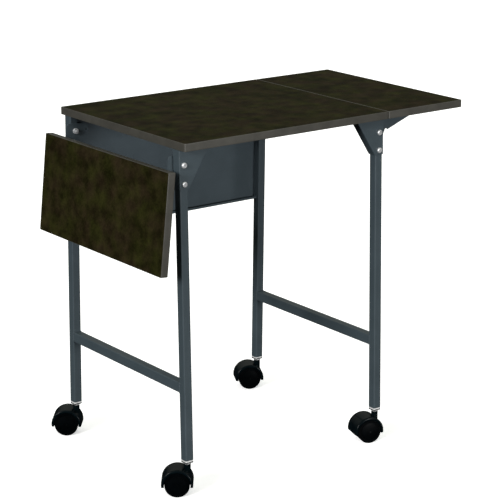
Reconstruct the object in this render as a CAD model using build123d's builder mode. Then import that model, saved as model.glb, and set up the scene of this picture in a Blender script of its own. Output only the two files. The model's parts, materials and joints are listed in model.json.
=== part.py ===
from build123d import *
import math
import os

# Mobile printer stand with two drop leaves, on four hooded twin-wheel casters.
#
# Millimetres, +Z up. X runs along the table from the left leaf to the right one, Y runs
# from the front edge to the back. The origin is on the floor, at the middle of the
# stand's footprint. The left leaf hangs and the right leaf is raised.

# ---- driving dimensions -------------------------------------------------------------

top_height = 734.0          # floor to worktop
top_length = 521.0          # fixed top, along X
top_depth = 457.0           # fixed top and leaves, along Y
leaf_width = 209.0
leaf_gap = 0.4              # between the fixed top's edge and a raised leaf
board = 16.0
band = 1.0                  # edge banding
corner_round = 3.0

left_end = -337.0           # the fixed top's left end
front_edge = -238.0

tube = 19.0                 # square tube of the legs
wall = 1.2
tube_round = 2.0
leg_setback = 19.0          # leg's front face behind the front edge, at the top
foot_splay = 13.0           # how much further out each foot stands than its leg's top
stretcher_bottom = 216.0
stretcher_height = 22.0

sheet = 1.5                 # pressed steel of the gussets and the rear panel
gusset_top_width = 71.0
gusset_bottom_width = 21.5
gusset_height = 78.0
gusset_flange = 19.0

panel_bottom = 462.5
panel_flange = 12.0
panel_lip = 5.0

arm_sheet = 2.0
arm_reach = 130.0           # from the pivot out to the arm's tip
arm_flange = 16.0
leaf_drop_angle = 84.0

pivot_height = 687.5        # the upper bolt carries the arm
stop_height = 649.4         # the lower bolt carries the stop spacer
stop_radius = 4.0
bolt_radius = 3.0           # M6
bolt_length = 32.0
head_radius = 6.0
head_height = 3.4
nut_width = 10.0
nut_height = 5.0

screw_radius = 2.0          # 4 mm board screw
screw_length = 13.0
screw_head_radius = 4.0
screw_head_height = 2.4

running = 0.05              # radial clearance of a shaft that turns in its hole
gap = 0.1                   # between flat faces that slide past each other

wheel_radius = 26.0
wheel_inner = 7.0           # from the caster's middle plane to a wheel's inner face
wheel_outer = 23.0
wheel_dome = 1.5
caster_trail = 20.5
hood_radius = 33.0
hood_inner = 27.5
hood_half_width = 24.0
hood_skirt = 21.0           # height of the hood's lower edge
web_half = 6.5
boss_radius = 7.2
boss_top = 65.2
axle_radius = 3.0
axle_half = 20.5
pin_radius = 3.5
pin_bottom = 34.0
collar_radius = 6.2
collar_bottom = 65.5
stem_radius = 4.0
stem_top = 104.0
socket_bottom = 68.5
socket_top = 110.0
ferrule_bottom = 71.0
tube_bottom = 74.0

# How far each caster has swung, as the direction in which its wheels trail.
trail_angles = {
    "front_left": 143.0,
    "front_right": 163.0,
    "rear_left": 141.0,
    "rear_right": 152.0,
}

# ---- derived places -----------------------------------------------------------------

underside = top_height - board
right_end = left_end + top_length
back_edge = front_edge + top_depth
middle_x = left_end + top_length / 2
middle_y = front_edge + top_depth / 2
across_x = Plane(origin=(middle_x, 0, 0), z_dir=(1, 0, 0))
across_y = Plane(origin=(0, middle_y, 0), z_dir=(0, 1, 0))

splay_slope = foot_splay / (underside - ferrule_bottom)
leg_axis_x = left_end + tube / 2
leg_up = Vector(0, splay_slope, 1)


def leg_front(height):
    """Y of a front leg's front face at a height."""
    return front_edge + leg_setback - splay_slope * (underside - height)


def leg_back(height):
    """Y of a front leg's back face at a height."""
    return leg_front(height) + tube


arm_front = leg_back(underside) + 1.5
arm_back = arm_front + arm_sheet
washer_start = arm_back + gap
nut_start = washer_start + 1.0
pivot_right_x = right_end - tube / 2

os.makedirs("parts", exist_ok=True)


def write(piece, name):
    """Label a finished piece and write it as its own STEP file."""
    piece.label = name
    export_step(piece, f"parts/{name}.step")


def mirrored(piece, about):
    return mirror(piece, about=about, mode=Mode.PRIVATE)


def at_four_legs(piece, name):
    """Four alike pieces, one at each leg, kept as separate solids of one node."""
    with BuildPart() as group:
        add(piece)
        mirror(group.part, about=across_x)
        mirror(group.part, about=across_y)
    write(group.part, name)


# ---- boards and their edge bands ------------------------------------------------------

def panel_board(start_x, length, screw_places):
    """A laminated board without its banding, with blind pilot holes in its underside."""
    with BuildPart() as core:
        with BuildSketch(Plane.XY.offset(underside)):
            with Locations((start_x + length / 2, middle_y)):
                RectangleRounded(length - 2 * band, top_depth - 2 * band, corner_round - band)
        extrude(amount=board)
        with BuildSketch(Plane.XY.offset(underside)):
            with Locations(*screw_places):
                Circle(screw_radius + running)
        extrude(amount=screw_length, mode=Mode.SUBTRACT)
    return core.part


def edge_band(start_x, length):
    """The plastic strip round a board's four edges."""
    with BuildPart() as strip:
        with BuildSketch(Plane.XY.offset(underside)):
            with Locations((start_x + length / 2, middle_y)):
                RectangleRounded(length, top_depth, corner_round)
                RectangleRounded(
                    length - 2 * band,
                    top_depth - 2 * band,
                    corner_round - band,
                    mode=Mode.SUBTRACT,
                )
        extrude(amount=board)
        rims = strip.edges().filter_by(Plane.XY).group_by(Axis.Z)
        outer = [edge for edge in rims[0] + rims[-1] if is_outer_rim(edge, start_x, length)]
        chamfer(outer, length=0.4)
    return strip.part


def is_outer_rim(edge, start_x, length):
    """True for an edge on the band's outside rather than against the board."""
    spot = edge @ 0.5
    reach_x = abs(spot.X - start_x - length / 2) - length / 2
    reach_y = abs(spot.Y - middle_y) - top_depth / 2
    return max(reach_x, reach_y) > -band * 0.95


def board_screws(places, flange_face):
    """Pan-head screws that hold a steel flange against a board's underside."""
    with BuildPart() as screws:
        with BuildSketch(Plane.XY.offset(flange_face)):
            with Locations(*places):
                Circle(screw_radius)
        extrude(amount=screw_length - 1)
        with BuildSketch(Plane.XY.offset(flange_face)):
            with Locations(*places):
                Circle(screw_head_radius)
        extrude(amount=-screw_head_height)
        rims = screws.edges().filter_by(GeomType.CIRCLE).group_by(Axis.Z)[0]
        fillet(rims, radius=1.0)
        with BuildSketch(Plane.XY.offset(flange_face - screw_head_height)):
            with Locations(*places):
                Rectangle(3.6, 0.8)
                Rectangle(0.8, 3.6)
        extrude(amount=1.4, mode=Mode.SUBTRACT)
    return screws.part


gusset_screw_xs = (left_end + 32, left_end + 52)
gusset_screw_y = leg_front(underside) + tube / 2
gusset_screw_places = [(x, gusset_screw_y) for x in gusset_screw_xs]
gusset_screw_places += [(2 * middle_x - x, y) for x, y in gusset_screw_places]
panel_screw_y = leg_front(underside) + panel_flange / 2 + 1
panel_screw_places = [(middle_x + shift, 2 * middle_y - panel_screw_y) for shift in (-160, 0, 160)]
top_screw_places = gusset_screw_places + panel_screw_places

write(panel_board(left_end, top_length, top_screw_places), "top_board")
write(edge_band(left_end, top_length), "top_edge_band")
write(board_screws(top_screw_places, underside - sheet), "top_screws")

# ---- side frames: four tubular legs and two stretchers --------------------------------

bolt_heights = (pivot_height, stop_height)

with BuildPart() as leg_block:
    with BuildSketch(Plane.XY.offset(tube_bottom)):
        with Locations((leg_axis_x, leg_front(tube_bottom) + tube / 2)):
            RectangleRounded(tube, tube, tube_round)
    extrude(amount=(underside - tube_bottom) * leg_up.length, dir=leg_up.normalized())

with BuildPart() as leg:
    add(leg_block.part)
    with BuildSketch(Plane.XY.offset(tube_bottom)):
        with Locations((leg_axis_x, leg_front(tube_bottom) + tube / 2)):
            RectangleRounded(tube - 2 * wall, tube - 2 * wall, tube_round - wall)
    extrude(
        amount=(underside - tube_bottom) * leg_up.length,
        dir=leg_up.normalized(),
        mode=Mode.SUBTRACT,
    )
    with BuildSketch(Plane.XZ):
        with Locations(*[(leg_axis_x, height) for height in bolt_heights]):
            Circle(bolt_radius + gap)
    extrude(amount=top_depth, both=True, mode=Mode.SUBTRACT)

front_right_leg = mirrored(leg.part, across_x)
write(leg.part, "leg_front_left")
write(front_right_leg, "leg_front_right")
write(mirrored(leg.part, across_y), "leg_rear_left")
write(mirrored(front_right_leg, across_y), "leg_rear_right")

with BuildPart() as stretcher:
    stretcher_middle = stretcher_bottom + stretcher_height / 2
    with BuildSketch(Plane.XZ.offset(-middle_y)):
        with Locations((leg_axis_x, stretcher_middle)):
            RectangleRounded(tube, stretcher_height, tube_round)
            RectangleRounded(
                tube - 2 * wall,
                stretcher_height - 2 * wall,
                tube_round - wall,
                mode=Mode.SUBTRACT,
            )
    extrude(amount=middle_y - leg_front(stretcher_middle) - tube / 2, both=True)
    add(leg_block.part, mode=Mode.SUBTRACT)
    mirror(leg_block.part, about=across_y, mode=Mode.SUBTRACT)

stretcher_body = stretcher.solids().sort_by(SortBy.VOLUME)[-1]
write(stretcher_body, "stretcher_left")
write(mirrored(stretcher_body, across_x), "stretcher_right")

# ---- gussets: folded brackets over the front legs' tops ---------------------------------

# The gusset lies on the leg's outer face, which leans with the splay. The plane's own x
# runs inboard from the table's end and its own y up the leg.
face_plane = Plane(
    origin=(left_end, leg_front(underside), underside),
    x_dir=(1, 0, 0),
    z_dir=(0, -1, splay_slope),
)
slant = math.atan2(gusset_top_width - gusset_bottom_width, gusset_height)
slant_sheet = sheet / math.cos(slant)

with BuildPart() as gusset:
    with BuildSketch(face_plane):
        Polygon(
            (-sheet, sheet),
            (gusset_top_width + sheet * math.tan(slant), sheet),
            (gusset_bottom_width, -gusset_height),
            (-sheet, -gusset_height),
            align=None,
        )
    extrude(amount=sheet)
    with BuildSketch(face_plane):
        Polygon((-sheet, sheet), (0, sheet), (0, -gusset_height), (-sheet, -gusset_height), align=None)
        Polygon(
            (gusset_top_width + sheet * math.tan(slant), sheet),
            (gusset_top_width + sheet * math.tan(slant) - slant_sheet, sheet),
            (gusset_bottom_width - slant_sheet, -gusset_height),
            (gusset_bottom_width, -gusset_height),
            align=None,
        )
    extrude(amount=-gusset_flange)
    bends = gusset.faces().sort_by(Axis.Y)[0].edges().filter_by(lambda edge: abs(edge.tangent_at(0.5).Z) > 0.5)
    fillet(bends, radius=sheet * 0.9)
    with BuildSketch(Plane.XY.offset(underside - sheet)):
        with Locations((left_end + tube + 0.5, leg_front(underside) - sheet / 2)):
            Rectangle(gusset_top_width - tube - 2, gusset_flange, align=(Align.MIN, Align.MIN))
    extrude(amount=sheet)
    split(bisect_by=Plane.XY.offset(underside), keep=Keep.BOTTOM)
    with BuildSketch(Plane.XZ):
        with Locations(*[(leg_axis_x, height) for height in bolt_heights]):
            Circle(bolt_radius + gap)
    extrude(amount=top_depth, both=True, mode=Mode.SUBTRACT)
    with BuildSketch(Plane.XY.offset(underside - sheet)):
        with Locations(*[(x, gusset_screw_y) for x in gusset_screw_xs]):
            Circle(screw_radius + gap)
    extrude(amount=sheet, mode=Mode.SUBTRACT)

write(gusset.part, "gusset_left")
write(mirrored(gusset.part, across_x), "gusset_right")

# ---- bolts, nuts, washers and stop spacers at each leg ----------------------------------

lean = head_radius * splay_slope + 0.01     # keeps a square-on head off the leaning face


def frame_bolt(seat, height):
    """M6 cross-recess bolt through gusset and leg, its head towards the front."""
    with BuildPart() as bolt:
        with BuildSketch(Plane.XZ.offset(-seat)):
            with Locations((leg_axis_x, height)):
                Circle(bolt_radius)
        extrude(amount=-bolt_length)
        chamfer(bolt.edges().group_by(Axis.Y)[-1], length=0.6)
        with BuildSketch(Plane.XZ.offset(-seat)):
            with Locations((leg_axis_x, height)):
                Circle(head_radius)
        extrude(amount=head_height)
        fillet(bolt.edges().group_by(Axis.Y)[0], radius=2.0)
        with BuildSketch(Plane.XZ.offset(head_height - seat)):
            with Locations((leg_axis_x, height)):
                Rectangle(6.0, 1.2, rotation=45)
                Rectangle(6.0, 1.2, rotation=-45)
        extrude(amount=-2.2, mode=Mode.SUBTRACT)
    return bolt.part


def ring(start, end, outer_radius, bore_radius, height):
    """A washer or sleeve on a bolt's axis, between two Y places."""
    with BuildPart() as washer:
        with BuildSketch(Plane.XZ.offset(-start)):
            with Locations((leg_axis_x, height)):
                Circle(outer_radius)
                Circle(bore_radius, mode=Mode.SUBTRACT)
        extrude(amount=start - end)
    return washer.part


def lock_nut(start, height):
    with BuildPart() as nut:
        with BuildSketch(Plane.XZ.offset(-start)):
            with Locations((leg_axis_x, height)):
                RegularPolygon(nut_width / 2, 6, major_radius=False)
                Circle(bolt_radius + running, mode=Mode.SUBTRACT)
        extrude(amount=-nut_height)
    return nut.part


seats = {height: leg_front(height) - sheet - lean for height in bolt_heights}

with BuildPart() as bolt_pair:
    for height in bolt_heights:
        add(frame_bolt(seats[height], height))

with BuildPart() as nut_pair:
    for height in bolt_heights:
        add(lock_nut(nut_start, height))

at_four_legs(bolt_pair.part, "frame_bolts")
at_four_legs(nut_pair.part, "lock_nuts")
spacer_washer = ring(leg_back(pivot_height) + lean, arm_front - gap, 5.5, bolt_radius + running, pivot_height)
at_four_legs(spacer_washer, "pivot_spacer_washers")
at_four_legs(ring(washer_start, nut_start, 6.0, bolt_radius + running, pivot_height), "pivot_washers")
stop_sleeve = ring(leg_back(stop_height) + lean, nut_start, stop_radius, bolt_radius + running, stop_height)
at_four_legs(stop_sleeve, "stop_spacers")

# ---- rear panel, bolted over the backs of the rear legs --------------------------------------

# Drawn on the front legs' faces, then mirrored to the back. Its flanges run forward
# between the legs, the lower one with an upturned lip.
panel_drop = underside - panel_bottom
flange_start_x = tube + 0.5
flange_length = top_length - 2 * flange_start_x

with BuildPart() as panel_at_front:
    with BuildSketch(face_plane):
        with Locations((0, sheet)):
            Rectangle(top_length, panel_drop + sheet, align=(Align.MIN, Align.MAX))
    extrude(amount=sheet)
    with BuildSketch(face_plane):
        with Locations((flange_start_x, -panel_drop)):
            Rectangle(flange_length, sheet, align=(Align.MIN, Align.MIN))
    extrude(amount=-panel_flange)
    with BuildSketch(face_plane.offset(sheet - panel_flange)):
        with Locations((flange_start_x, -panel_drop)):
            Rectangle(flange_length, panel_lip, align=(Align.MIN, Align.MIN))
    extrude(amount=-sheet)
    with BuildSketch(Plane.XY.offset(underside - sheet)):
        with Locations((left_end + flange_start_x, leg_front(underside) - sheet / 2)):
            Rectangle(flange_length, panel_flange, align=(Align.MIN, Align.MIN))
    extrude(amount=sheet)
    split(bisect_by=Plane.XY.offset(underside), keep=Keep.BOTTOM)
    with BuildSketch(Plane.XZ):
        with Locations(*[(leg_axis_x, height) for height in bolt_heights]):
            Circle(bolt_radius + gap)
        with Locations(*[(2 * middle_x - leg_axis_x, height) for height in bolt_heights]):
            Circle(bolt_radius + gap)
    extrude(amount=top_depth, both=True, mode=Mode.SUBTRACT)
    with BuildSketch(Plane.XY.offset(underside - sheet)):
        with Locations(*[(x, panel_screw_y) for x, _ in panel_screw_places]):
            Circle(screw_radius + gap)
    extrude(amount=sheet, mode=Mode.SUBTRACT)

write(mirrored(panel_at_front.part, across_y), "rear_panel")

# ---- drop leaves ----------------------------------------------------------------------------

# A leaf and its arms are drawn raised at the right end, in a plane whose own x runs
# outboard from the pivot and whose own y runs up.
arm_plane = Plane(origin=(pivot_right_x, arm_back, pivot_height), x_dir=(1, 0, 0), z_dir=(0, -1, 0))
arm_rise = underside - pivot_height
drop = math.radians(leaf_drop_angle)
stop_drop = pivot_height - stop_height
notch_at = (stop_drop * math.sin(drop), -stop_drop * math.cos(drop))
hub_radius = stop_drop - stop_radius - 1.6   # the hub sweeps past the stop spacer
hub_top = 22.0
hub_inboard = 15.5
arm_slope = 0.365                             # rise of the arm's lower edge
arm_tip = 1.0                                 # height of the arm's blunt tip
flange_start = 20.0
lock_hole_at = (-3.4, -27.0)
lock_hole_radius = 2.6
leaf_start = right_end + leaf_gap
leaf_screw_reaches = (45.0, 80.0, 115.0)

with BuildPart() as front_arm:
    with BuildSketch(arm_plane) as arm_outline:
        Circle(hub_radius)
        with Locations(((hub_radius - hub_inboard) / 2, (hub_top - hub_radius) / 2)):
            Rectangle(hub_radius + hub_inboard, hub_radius + hub_top, mode=Mode.INTERSECT)
        fillet(arm_outline.vertices().sort_by_distance((-hub_inboard, hub_top))[0], radius=8.0)
        Polygon(
            (0, hub_top),
            (flange_start - 6, hub_top),
            (flange_start, arm_rise),
            (arm_reach, arm_rise),
            (arm_reach, arm_rise - arm_tip),
            (0, arm_rise - arm_tip - arm_reach * arm_slope),
            align=None,
        )
        with Locations(notch_at):
            Circle(stop_radius + 0.2, mode=Mode.SUBTRACT)
        Circle(bolt_radius + running, mode=Mode.SUBTRACT)
        with Locations(lock_hole_at):
            Circle(lock_hole_radius, mode=Mode.SUBTRACT)
    extrude(amount=arm_sheet)
    with BuildSketch(Plane.XY.offset(underside)) as flange_outline:
        with Locations((pivot_right_x + flange_start, arm_front)):
            Rectangle(arm_reach - flange_start, arm_sheet + arm_flange, align=(Align.MIN, Align.MIN))
        fillet(flange_outline.vertices().group_by(Axis.Y)[-1], radius=5.0)
    extrude(amount=-arm_sheet)
    fold = front_arm.edges().filter_by(Axis.X).filter_by_position(
        Axis.Z, underside - gap, underside + gap
    ).sort_by(Axis.Y)[0]
    fillet(fold, radius=1.2)
    arm_screw_y = arm_back + arm_flange / 2
    with BuildSketch(Plane.XY.offset(underside)):
        with Locations(*[(pivot_right_x + reach, arm_screw_y) for reach in leaf_screw_reaches]):
            Circle(screw_radius + gap)
    extrude(amount=-arm_sheet, mode=Mode.SUBTRACT)

leaf_screw_places = [(pivot_right_x + reach, arm_screw_y) for reach in leaf_screw_reaches]
leaf_screw_places += [(x, 2 * middle_y - y) for x, y in leaf_screw_places]

raised_leaf = {
    "board": panel_board(leaf_start, leaf_width, leaf_screw_places),
    "edge_band": edge_band(leaf_start, leaf_width),
    "front_arm": front_arm.part,
    "rear_arm": mirrored(front_arm.part, across_y),
    "screws": board_screws(leaf_screw_places, underside - arm_sheet),
}
left_pivot = Axis((leg_axis_x, 0, pivot_height), (0, 1, 0))

for piece_name, piece in raised_leaf.items():
    write(piece, f"right_leaf_{piece_name}")
    hanging = mirrored(piece, across_x).rotate(left_pivot, -leaf_drop_angle)
    write(hanging, f"left_leaf_{piece_name}")

# ---- leg feet: trim ferrules, caster sockets, stems and grip rings -----------------------------

foot_x = leg_axis_x
foot_y = leg_front(ferrule_bottom) + tube / 2

with BuildPart() as ferrule:
    with BuildSketch(Plane.XY.offset(ferrule_bottom)):
        with Locations((foot_x, foot_y)):
            RectangleRounded(tube, tube, tube_round)
            RectangleRounded(tube - 2 * wall, tube - 2 * wall, tube_round - wall, mode=Mode.SUBTRACT)
    extrude(amount=(tube_bottom - ferrule_bottom) * leg_up.length, dir=leg_up.normalized())

with BuildPart() as socket:
    plug_width = tube - 2 * wall - 0.2
    with BuildSketch(Plane.XY.offset(ferrule_bottom)):
        with Locations((foot_x, foot_y)):
            RectangleRounded(plug_width, plug_width, 0.8)
    extrude(amount=(socket_top - ferrule_bottom) * leg_up.length, dir=leg_up.normalized())
    with BuildSketch(Plane.XY.offset(socket_bottom)):
        with Locations((foot_x, foot_y)):
            RectangleRounded(tube, tube, tube_round)
    extrude(amount=ferrule_bottom - socket_bottom)
    with BuildSketch(Plane.XY.offset(socket_bottom)):
        with Locations((foot_x, foot_y)):
            Circle(stem_radius + running)
    extrude(amount=socket_top - socket_bottom, mode=Mode.SUBTRACT)

ring_bottom = 92.0
ring_height = 5.0
groove_radius = 3.2

with BuildPart() as stem:
    with BuildSketch(Plane.XZ.offset(-foot_y)):
        Polygon(
            (foot_x, pin_bottom),
            (foot_x + pin_radius, pin_bottom),
            (foot_x + pin_radius, collar_bottom),
            (foot_x + collar_radius, collar_bottom),
            (foot_x + collar_radius, socket_bottom),
            (foot_x + stem_radius, socket_bottom),
            (foot_x + stem_radius, ring_bottom),
            (foot_x + groove_radius, ring_bottom),
            (foot_x + groove_radius, ring_bottom + ring_height),
            (foot_x + stem_radius, ring_bottom + ring_height),
            (foot_x + stem_radius, stem_top - 1.5),
            (foot_x + stem_radius - 1.5, stem_top),
            (foot_x, stem_top),
            align=None,
        )
    revolve(axis=Axis((foot_x, foot_y, 0), (0, 0, 1)))

with BuildPart() as grip_ring:
    with BuildSketch(Plane.XY.offset(ring_bottom + gap)):
        with Locations((foot_x, foot_y)):
            Circle(stem_radius)
            Circle(groove_radius + running, mode=Mode.SUBTRACT)
        with Locations((foot_x, foot_y - stem_radius)):
            Rectangle(1.2, 2 * stem_radius, mode=Mode.SUBTRACT)
    extrude(amount=ring_height - 2 * gap)

at_four_legs(ferrule.part, "leg_ferrules")
at_four_legs(socket.part, "caster_sockets")
at_four_legs(stem.part, "caster_stems")
at_four_legs(grip_ring.part, "grip_rings")

# ---- casters, drawn with the stem on Z, the wheels trailing along X and the axle along Y ---------

wheel_spot = (caster_trail, wheel_radius)

with BuildPart() as hood:
    with BuildSketch(Plane.XZ):
        with Locations(wheel_spot):
            Circle(hood_radius)
            Circle(hood_inner, mode=Mode.SUBTRACT)
        with Locations((caster_trail, hood_skirt)):
            Rectangle(3 * hood_radius, 2 * hood_radius, align=(Align.CENTER, Align.MAX), mode=Mode.SUBTRACT)
    extrude(amount=hood_half_width, both=True)
    rims = hood.edges().filter_by(GeomType.CIRCLE).filter_by(lambda edge: edge.radius > hood_inner + 1)
    fillet(rims, radius=3.0)
    with BuildSketch(Plane.XZ):
        with Locations(wheel_spot):
            Circle(hood_inner + 2)
        with Locations((caster_trail, hood_skirt)):
            Rectangle(3 * hood_radius, 2 * hood_radius, align=(Align.CENTER, Align.MAX), mode=Mode.SUBTRACT)
        with Locations(wheel_spot):
            Circle(2.5 * axle_radius)
    extrude(amount=web_half, both=True)
    with BuildSketch(Plane.XY.offset(pin_bottom)):
        Circle(boss_radius)
    extrude(amount=boss_top - pin_bottom)
    fillet(hood.edges().group_by(Axis.Z)[-1], radius=1.2)
    for side in (-1, 1):
        with BuildSketch(Plane.XZ.offset(side * web_half)):
            with Locations(wheel_spot):
                Circle(hood_inner - 0.2)
        extrude(amount=side * hood_radius, mode=Mode.SUBTRACT)
    with BuildSketch(Plane.XY.offset(boss_top)):
        Circle(pin_radius + running)
    extrude(amount=-(boss_top - pin_bottom + 1), mode=Mode.SUBTRACT)
    with BuildSketch(Plane.XZ):
        with Locations(wheel_spot):
            Circle(axle_radius + gap)
    extrude(amount=hood_radius, both=True, mode=Mode.SUBTRACT)

with BuildPart() as axle:
    with BuildSketch(Plane.XZ):
        with Locations(wheel_spot):
            Circle(axle_radius)
    extrude(amount=axle_half, both=True)
    chamfer(axle.edges().filter_by(GeomType.CIRCLE), length=0.6)

wheel_axis = Axis((caster_trail, 0, wheel_radius), (0, 1, 0))
rim_radius = 20.0
dome_radius = (rim_radius**2 + wheel_dome**2) / (2 * wheel_dome)
dome_middle = wheel_outer + wheel_dome - dome_radius + math.sqrt(dome_radius**2 - rim_radius**2 / 4)

with BuildPart() as wheel:
    # half section of a wheel, from its axis out to the tread
    with BuildSketch(Plane.YZ.offset(caster_trail)) as half_section:
        with BuildLine():
            Polyline(
                (wheel_outer + wheel_dome, wheel_radius),
                (axle_half + 0.5, wheel_radius),
                (axle_half + 0.5, wheel_radius + axle_radius + running),
                (wheel_inner, wheel_radius + axle_radius + running),
                (wheel_inner, 2 * wheel_radius),
                (wheel_outer, 2 * wheel_radius),
                (wheel_outer, wheel_radius + rim_radius + 1.2),
                (wheel_outer - 0.8, wheel_radius + rim_radius + 1.2),
                (wheel_outer - 0.8, wheel_radius + rim_radius),
                (wheel_outer, wheel_radius + rim_radius),
            )
            ThreePointArc(
                (wheel_outer, wheel_radius + rim_radius),
                (dome_middle, wheel_radius + rim_radius / 2),
                (wheel_outer + wheel_dome, wheel_radius),
            )
        make_face()
        tread_corners = half_section.vertices().group_by(Axis.Y)[-1].sort_by(Axis.X)
        fillet(tread_corners[0], radius=1.5)
        fillet(tread_corners[-1], radius=3.8)
    revolve(axis=wheel_axis)

across_caster = Plane(origin=(0, 0, 0), z_dir=(0, 1, 0))
far_wheel = mirrored(wheel.part, across_caster)
legs = {
    "front_left": (foot_x, foot_y),
    "front_right": (2 * middle_x - foot_x, foot_y),
    "rear_left": (foot_x, 2 * middle_y - foot_y),
    "rear_right": (2 * middle_x - foot_x, 2 * middle_y - foot_y),
}

for corner, (x, y) in legs.items():
    place = Location((x, y, 0), (0, 0, trail_angles[corner]))
    write(hood.part.moved(place), f"caster_hood_{corner}")
    write(axle.part.moved(place), f"caster_axle_{corner}")
    write(wheel.part.moved(place), f"caster_wheel_{corner}_a")
    write(far_wheel.moved(place), f"caster_wheel_{corner}_b")
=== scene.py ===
import json
import math

import bmesh
import bpy
from mathutils import Matrix, Vector


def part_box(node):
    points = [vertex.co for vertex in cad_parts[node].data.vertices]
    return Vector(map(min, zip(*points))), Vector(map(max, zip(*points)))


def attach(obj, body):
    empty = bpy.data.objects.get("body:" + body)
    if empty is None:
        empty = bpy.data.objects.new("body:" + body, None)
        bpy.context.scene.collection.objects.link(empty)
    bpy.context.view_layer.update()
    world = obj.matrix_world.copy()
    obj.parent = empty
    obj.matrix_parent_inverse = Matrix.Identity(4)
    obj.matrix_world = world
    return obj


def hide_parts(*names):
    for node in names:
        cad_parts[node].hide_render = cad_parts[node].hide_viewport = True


# Looks of the mobile printer stand: laminated boards in moulded edge strips, a powder-coated
# tube frame, bright fixings and four hooded twin-wheel casters. Metres, in the CAD frame.

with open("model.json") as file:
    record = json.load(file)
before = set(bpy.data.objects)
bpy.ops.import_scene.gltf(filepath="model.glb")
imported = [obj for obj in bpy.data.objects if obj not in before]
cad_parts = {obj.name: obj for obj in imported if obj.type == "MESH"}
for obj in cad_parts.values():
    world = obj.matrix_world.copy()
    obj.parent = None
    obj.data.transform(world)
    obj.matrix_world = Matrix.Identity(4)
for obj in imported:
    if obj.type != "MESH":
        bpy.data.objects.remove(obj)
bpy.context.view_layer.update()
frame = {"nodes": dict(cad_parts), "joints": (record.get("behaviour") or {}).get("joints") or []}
joints = {joint["name"]: joint for joint in frame["joints"]}

# ---- materials -----------------------------------------------------------------------------


class Look:
    """A Principled material, with short calls that add its pattern nodes."""

    def __init__(self, name, **settings):
        self.material = bpy.data.materials.new(name)
        self.material.use_nodes = True
        self.tree = self.material.node_tree
        self.shader = next(n for n in self.tree.nodes if n.type == "BSDF_PRINCIPLED")
        for socket, value in settings.items():
            self.shader.inputs[socket.replace("_", " ")].default_value = value
        self.place = self.node("ShaderNodeTexCoord").outputs["Object"]

    def node(self, kind, inputs=(), **settings):
        """A node whose inputs are each linked from a socket or set to a constant."""
        made = self.tree.nodes.new(kind)
        for name, value in settings.items():
            setattr(made, name, value)
        for socket, value in dict(inputs).items():
            if isinstance(value, bpy.types.NodeSocket):
                self.tree.links.new(value, made.inputs[socket])
            else:
                made.inputs[socket].default_value = value
        return made

    def noise(self, size, detail=2.0, roughness=0.5, distortion=0.0, place=None):
        """Noise whose blotches are about size metres across."""
        return self.node(
            "ShaderNodeTexNoise",
            {
                "Vector": place or self.place,
                "Scale": 1.0 / size,
                "Detail": detail,
                "Roughness": roughness,
                "Distortion": distortion,
            },
        ).outputs["Fac"]

    def shifted(self, metres):
        """The surface's own place, moved so that two noises don't follow each other."""
        offset = (metres, 1.7 * metres, 0.6 * metres)
        return self.node(
            "ShaderNodeVectorMath", {0: self.place, 1: offset}, operation="ADD"
        ).outputs["Vector"]

    def ramp(self, value, *stops):
        """Colours or greys along a value; each stop is (place, grey or RGB)."""
        made = self.node("ShaderNodeValToRGB", {"Fac": value})
        points = made.color_ramp.elements
        while len(points) < len(stops):
            points.new(0.5)
        for point, (spot, tone) in zip(points, stops):
            point.position = spot
            point.color = (*tone, 1.0) if isinstance(tone, tuple) else (tone, tone, tone, 1.0)
        return made.outputs["Color"]

    def math(self, operation, *values):
        return self.node("ShaderNodeMath", dict(enumerate(values)), operation=operation).outputs["Value"]

    def mix(self, share, first, second):
        """The first colour where share is 0, the second where it is 1; each is a socket or RGB."""
        colours = [c if isinstance(c, bpy.types.NodeSocket) else (*c, 1.0) for c in (first, second)]
        inputs = {0: share, 6: colours[0], 7: colours[1]}
        return self.node("ShaderNodeMix", inputs, data_type="RGBA").outputs[2]

    def set(self, socket, value):
        self.tree.links.new(value, self.shader.inputs[socket])
        return self

    def bump(self, height, depth, strength=1.0):
        """Relief of depth metres from a height between 0 and 1."""
        inputs = {"Height": height, "Distance": depth, "Strength": strength}
        made = self.node("ShaderNodeBump", inputs)
        return self.set("Normal", made.outputs["Normal"])


def spread(look, value, low, high):
    """A noise value, mostly between 0.3 and 0.7, stretched to low and high."""
    return look.node(
        "ShaderNodeMapRange",
        {"Value": value, "From Min": 0.3, "From Max": 0.7, "To Min": low, "To Max": high},
    ).outputs["Result"]


def laminate(name, up):
    """Dark mottled laminate on the face towards up, and a plain brown-black backer below."""
    look = Look(name, Specular_IOR_Level=0.012)
    blotch = look.noise(0.030, detail=4.0, roughness=0.55)
    fleck = look.noise(0.0035, detail=2.0, roughness=0.6)
    tint = look.noise(0.045, detail=3.0, place=look.shifted(0.37))
    both = look.math("ADD", look.math("MULTIPLY", blotch, 0.65), look.math("MULTIPLY", fleck, 0.35))
    dark_at, light_at = 0.38, 0.64
    green = look.ramp(both, (dark_at, (0.0068, 0.0070, 0.0018)), (light_at, (0.0236, 0.0234, 0.0062)))
    brown = look.ramp(both, (dark_at, (0.0086, 0.0062, 0.0028)), (light_at, (0.0256, 0.0186, 0.0092)))
    stone = look.mix(look.ramp(tint, (0.36, 0.0), (0.64, 1.0)), green, brown)
    grain = look.noise(0.0012, detail=1.0)
    backer = look.ramp(grain, (0.3, (0.010, 0.009, 0.008)), (0.7, (0.016, 0.014, 0.012)))
    normal = look.node("ShaderNodeTexCoord").outputs["Normal"]
    facing = look.node("ShaderNodeVectorMath", {0: normal, 1: up}, operation="DOT_PRODUCT")
    is_top = look.math("GREATER_THAN", facing.outputs["Value"], 0.5)
    look.set("Base Color", look.mix(is_top, backer, stone))
    look.set("Roughness", spread(look, fleck, 0.42, 0.60))
    return look.bump(look.noise(0.0006, detail=1.0), 0.00004, 0.6).material


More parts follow.
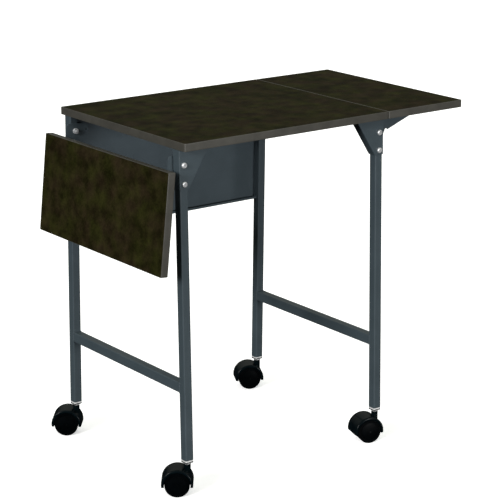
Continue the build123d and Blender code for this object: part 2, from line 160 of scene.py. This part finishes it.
def moulding():
    """Satin vinyl of the edge strips, a warm grey-brown with faint drawing lines."""
    look = Look("edge_strip_vinyl", Specular_IOR_Level=0.5)
    tone = look.noise(0.03, detail=2.0)
    look.set("Base Color", look.ramp(tone, (0.3, (0.040, 0.038, 0.032)), (0.7, (0.054, 0.051, 0.043))))
    look.set("Roughness", spread(look, look.noise(0.004), 0.36, 0.48))
    return look.bump(look.noise(0.0009, detail=1.0), 0.00003, 0.5).material


def powder_coat():
    """Slate-grey powder coat with a fine orange-peel surface and a little metallic fleck."""
    look = Look("powder_coat", Specular_IOR_Level=0.30)
    tone = look.noise(0.05, detail=3.0)
    fleck = look.noise(0.0004, detail=0.0)
    body = look.ramp(tone, (0.3, (0.0365, 0.0500, 0.0585)), (0.7, (0.0440, 0.0595, 0.0690)))
    light = look.ramp(fleck, (0.62, 0.0), (0.72, 1.0))
    look.set("Base Color", look.mix(look.math("MULTIPLY", light, 0.25), body, (0.10, 0.13, 0.15)))
    look.set("Roughness", spread(look, look.noise(0.002), 0.36, 0.50))
    return look.bump(look.noise(0.0011, detail=2.0), 0.00005, 0.5).material


def plated(name, colour, metallic, roughness, brushed):
    """Bright metal with fine drawing marks, dulled where metallic is under 1."""
    look = Look(name, Metallic=metallic)
    dull = look.noise(0.006, detail=3.0)
    look.set("Base Color", look.ramp(dull, (0.3, tuple(0.86 * c for c in colour)), (0.7, colour)))
    look.set("Roughness", spread(look, dull, roughness, roughness + 0.12))
    return look.bump(look.noise(0.0004, detail=2.0), brushed, 0.6).material


def moulded(name, dark, light, roughness, grain, specular):
    """Moulded plastic: a fine spark-eroded grain and a faint change of tone."""
    look = Look(name, Specular_IOR_Level=specular)
    look.set("Base Color", look.ramp(look.noise(0.012, detail=3.0), (0.3, dark), (0.7, light)))
    look.set("Roughness", spread(look, look.noise(0.003, detail=2.0), roughness, roughness + 0.12))
    return look.bump(look.noise(0.0005, detail=1.0), grain, 0.7).material


laminate_flat = laminate("laminate_raised", (0.0, 0.0, 1.0))
drop = math.radians(joints["left_leaf_hinge"]["range_deg"][1])
laminate_hanging = laminate("laminate_hanging", (-math.sin(drop), 0.0, math.cos(drop)))
vinyl = moulding()
paint = powder_coat()
zinc = plated("zinc_plate", (0.78, 0.79, 0.80), metallic=0.70, roughness=0.30, brushed=0.00002)
chrome = plated("bright_plate", (0.95, 0.95, 0.95), metallic=0.45, roughness=0.36, brushed=0.000008)
nylon = moulded(
    "nylon_natural",
    dark=(0.52, 0.51, 0.48),
    light=(0.60, 0.59, 0.56),
    roughness=0.40,
    grain=0.00002,
    specular=0.5,
)
hood_plastic = moulded(
    "caster_hood_plastic",
    dark=(0.0006, 0.0020, 0.0028),
    light=(0.0020, 0.0042, 0.0052),
    roughness=0.13,
    grain=0.000005,
    specular=0.07,
)
wheel_plastic = moulded(
    "caster_wheel_plastic",
    dark=(0.0002, 0.0005, 0.0007),
    light=(0.0006, 0.0012, 0.0016),
    roughness=0.34,
    grain=0.00002,
    specular=0.035,
)

looks = {
    "laminate": laminate_flat,
    "edge_band": vinyl,
    "frame_paint": paint,
    "zinc": zinc,
    "bright_metal": chrome,
    "nylon": nylon,
    "caster_wheel": wheel_plastic,
    "caster_plastic": hood_plastic,
}
for name, node in frame["nodes"].items():
    for place in node.material_slots:
        place.material = looks[place.material.name]
frame["nodes"]["left_leaf_board"].material_slots[0].material = laminate_hanging

# ---- added pieces ------------------------------------------------------------------------------


def closed_solid(name, rows, wrap, material, body):
    """A closed skin over rows of points; wrap joins the last row to the first, else ends are capped."""
    mesh = bmesh.new()
    made = [[mesh.verts.new(point) for point in row] for row in rows]
    count = len(rows[0])
    pairs = list(zip(made, made[1:] + made[:1])) if wrap else list(zip(made, made[1:]))
    for first, second in pairs:
        for i in range(count):
            j = (i + 1) % count
            mesh.faces.new((first[i], first[j], second[j], second[i]))
    if not wrap:
        mesh.faces.new(made[0])
        mesh.faces.new(made[-1])
    bmesh.ops.recalc_face_normals(mesh, faces=mesh.faces)
    data = bpy.data.meshes.new(name)
    mesh.to_mesh(data)
    mesh.free()
    data.polygons.foreach_set("use_smooth", [True] * len(data.polygons))
    data.set_sharp_from_angle(angle=math.radians(38))
    data.materials.append(material)
    piece = bpy.data.objects.new(name, data)
    bpy.context.scene.collection.objects.link(piece)
    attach(piece, body)
    return piece


def round_path(half_x, half_y, radius, steps):
    """Corner centres and outward directions round a rectangle, from the middle of the far side."""
    path = [((0.0, half_y - radius), (0.0, 1.0))]
    for sign_x, sign_y, start in ((1, 1, 90), (1, -1, 0), (-1, -1, -90), (-1, 1, -180)):
        centre = (sign_x * (half_x - radius), sign_y * (half_y - radius))
        for step in range(steps + 1):
            turn = math.radians(start - 90.0 * step / steps)
            path.append((centre, (math.cos(turn), math.sin(turn))))
    return path + [path[0]]


strip_wall = 0.001
strip_corner = 0.003
strip_butt_gap = 0.00024
board_corner_steps = 8


def strip_profile(height):
    """Outline of a moulded edge strip: flat against the board and crowned in front."""
    squareness = 0.30
    steps = 16
    front = []
    for step in range(steps + 1):
        turn = math.pi * step / steps
        along, out = -math.cos(turn), math.sin(turn)
        z = height / 2 + math.copysign(abs(along) ** squareness, along) * height / 2
        front.append(((0.75 * out ** squareness - 0.60) * strip_wall, z))
    return [(-strip_wall, 0.0)] + front + [(-strip_wall, height)]


def edge_strip(node, body, box, place):
    """The moulded strip round one board, butted at the middle of its back edge."""
    low, high = box
    half_x, half_y, half_z = ((top - bottom) / 2 for bottom, top in zip(low, high))
    profile = strip_profile(2 * half_z)
    path = round_path(half_x, half_y, strip_corner, board_corner_steps)
    butt_nudge = {0: strip_butt_gap / 2, len(path) - 1: -strip_butt_gap / 2}
    rows = []
    for index, ((x, y), (out_x, out_y)) in enumerate(path):
        x += butt_nudge.get(index, 0.0)
        row = []
        for out, z in profile:
            reach = strip_corner + out
            row.append(place @ Vector((x + out_x * reach, y + out_y * reach, z - half_z)))
        rows.append(row)
    piece = closed_solid(node + "_moulded", rows, False, vinyl, body)
    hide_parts(node)


def middle(box):
    return (Vector(box[0]) + Vector(box[1])) / 2


# The hanging strip has the raised one's shape, mirrored to the left and turned down about the pivot.
top_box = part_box("top_edge_band")
right_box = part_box("right_leaf_edge_band")
top_middle, right_middle = middle(top_box), middle(right_box)
left_middle = Vector((2 * top_middle.x - right_middle.x, right_middle.y, right_middle.z))
pivot = Vector(joints["left_leaf_hinge"]["pos_m"])
hang = Matrix.Translation(pivot) @ Matrix.Rotation(-drop, 4, "Y") @ Matrix.Translation(left_middle - pivot)
edge_strip("top_edge_band", "stand", top_box, Matrix.Translation(top_middle))
edge_strip("right_leaf_edge_band", "right_leaf", right_box, Matrix.Translation(right_middle))
edge_strip("left_leaf_edge_band", "left_leaf", right_box, hang)


leg_splay = 0.0201           # lean of a leg's face, across per metre of height
tube_corner = 0.002
tube_corner_steps = 5
bead_size = 0.0016
bead_sides = 10
bead_stand_off = 0.0004      # from the leg's face to the bead's axis
ripple_step = 0.00045


def bead_run(half_x, half_z):
    """Points round a stretcher's outline, ripple_step apart, each with its outward direction."""
    corners = [
        (x + tube_corner * out_x, z + tube_corner * out_z, out_x, out_z)
        for (x, z), (out_x, out_z) in round_path(half_x, half_z, tube_corner, tube_corner_steps)[:-1]
    ]
    run = []
    for first, second in zip(corners, corners[1:] + corners[:1]):
        count = max(1, round(math.dist(first[:2], second[:2]) / ripple_step))
        for step in range(count):
            share = step / count
            run.append([a + (b - a) * share for a, b in zip(first, second)])
    return run


def weld_bead(name, box, end):
    """A rippled fillet of weld round a stretcher's front (-1) or rear (1) end, on its leg's face."""
    low, high = box
    centre = middle(box)
    half_x, half_z = (high[0] - low[0]) / 2, (high[2] - low[2]) / 2
    turns = [math.tau * side / bead_sides for side in range(bead_sides)]
    rows = []
    for index, (x, z, out_x, out_z) in enumerate(bead_run(half_x, half_z)):
        lean = leg_splay * (z + half_z)
        face = low[1] + lean if end < 0 else high[1] - lean
        size = bead_size * (1.0 + 0.10 * math.sin(index * 1.35) + 0.06 * math.sin(index * 0.31))
        row = []
        for turn in turns:
            out = 0.75 * size * math.cos(turn)
            off_leg = bead_stand_off + size * math.sin(turn)
            row.append(Vector((centre.x + x + out_x * out, face - end * off_leg, centre.z + z + out_z * out)))
        rows.append(row)
    closed_solid(name, rows, True, paint, "stand")


for side in ("left", "right"):
    stretcher_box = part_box("stretcher_" + side)
    for end, where in ((-1, "front"), (1, "rear")):
        weld_bead(f"weld_{where}_{side}", stretcher_box, end)

# ---- floor, light and camera -----------------------------------------------------------------

floor_half = 40.0
floor_corners = [(x * floor_half, y * floor_half, 0.0) for x, y in ((-1, -1), (1, -1), (1, 1), (-1, 1))]
floor_mesh = bpy.data.meshes.new("floor")
floor_mesh.from_pydata(floor_corners, [], [(0, 1, 2, 3)])
floor = bpy.data.objects.new("floor", floor_mesh)
bpy.context.scene.collection.objects.link(floor)
floor.visible_diffuse = False
floor.visible_glossy = False
floor_look = Look("floor_pale", Roughness=0.8, Specular_IOR_Level=0.1, Emission_Strength=0.5)
floor_look.shader.inputs["Emission Color"].default_value = (1.0, 1.0, 1.0, 1.0)
floor_look.set(
    "Base Color",
    floor_look.ramp(floor_look.noise(0.5), (0.3, (0.93, 0.93, 0.93)), (0.7, (0.95, 0.95, 0.95))),
)
floor_mesh.materials.append(floor_look.material)

# The dome is dark below the horizon and bright overhead, so upright faces keep their depth.
world = bpy.data.worlds.new("studio")
bpy.context.scene.world = world
world.use_nodes = True
dome_nodes = world.node_tree.nodes
dome_links = world.node_tree.links
sky = dome_nodes["Background"]
sky.inputs["Strength"].default_value = 0.60
direction = dome_nodes.new("ShaderNodeTexCoord")
parts = dome_nodes.new("ShaderNodeSeparateXYZ")
lift = dome_nodes.new("ShaderNodeMapRange")
lift.inputs["From Min"].default_value = -1.0
dome = dome_nodes.new("ShaderNodeValToRGB")
horizon, overhead = dome.color_ramp.elements
horizon.position = 0.50
horizon.color = (0.02, 0.02, 0.022, 1.0)
overhead.position = 0.80
overhead.color = (0.97, 1.0, 0.90, 1.0)
dome_links.new(direction.outputs["Generated"], parts.inputs["Vector"])
dome_links.new(parts.outputs["Z"], lift.inputs["Value"])
dome_links.new(lift.outputs["Result"], dome.inputs["Fac"])
dome_links.new(dome.outputs["Color"], sky.inputs["Color"])


def sun(name, towards, strength, softness, glossy=True):
    """A soft far lamp shining along towards; one that isn't glossy leaves no highlights."""
    lamp = bpy.data.lights.new(name, "SUN")
    lamp.energy = strength
    lamp.angle = math.radians(softness)
    made = bpy.data.objects.new(name, lamp)
    made.rotation_euler = Vector(towards).to_track_quat("-Z", "Y").to_euler()
    made.visible_glossy = glossy
    bpy.context.scene.collection.objects.link(made)


sun("left", (1.0, 0.25, -0.38), 3.1, 20)
sun("front", (-0.04, 1.0, -0.05), 2.6, 14)
sun("right", (-1.0, -0.12, -0.08), 2.0, 16, glossy=False)
sun("back", (-0.14, -1.0, -0.08), 2.2, 16, glossy=False)

camera_place = (-2.3465, -3.1089, 1.5181)
camera_down = 15.877
camera_right = 37.05
camera_data = bpy.data.cameras.new("camera")
camera_data.sensor_width = 36.0
camera_data.lens = 133.75
camera_data.clip_end = 200.0
camera = bpy.data.objects.new("camera", camera_data)
camera.location = camera_place
camera.rotation_euler = (math.radians(90 - camera_down), 0.0, math.radians(-camera_right))
bpy.context.scene.collection.objects.link(camera)
bpy.context.scene.camera = camera
bpy.context.scene.view_settings.view_transform = "Standard"
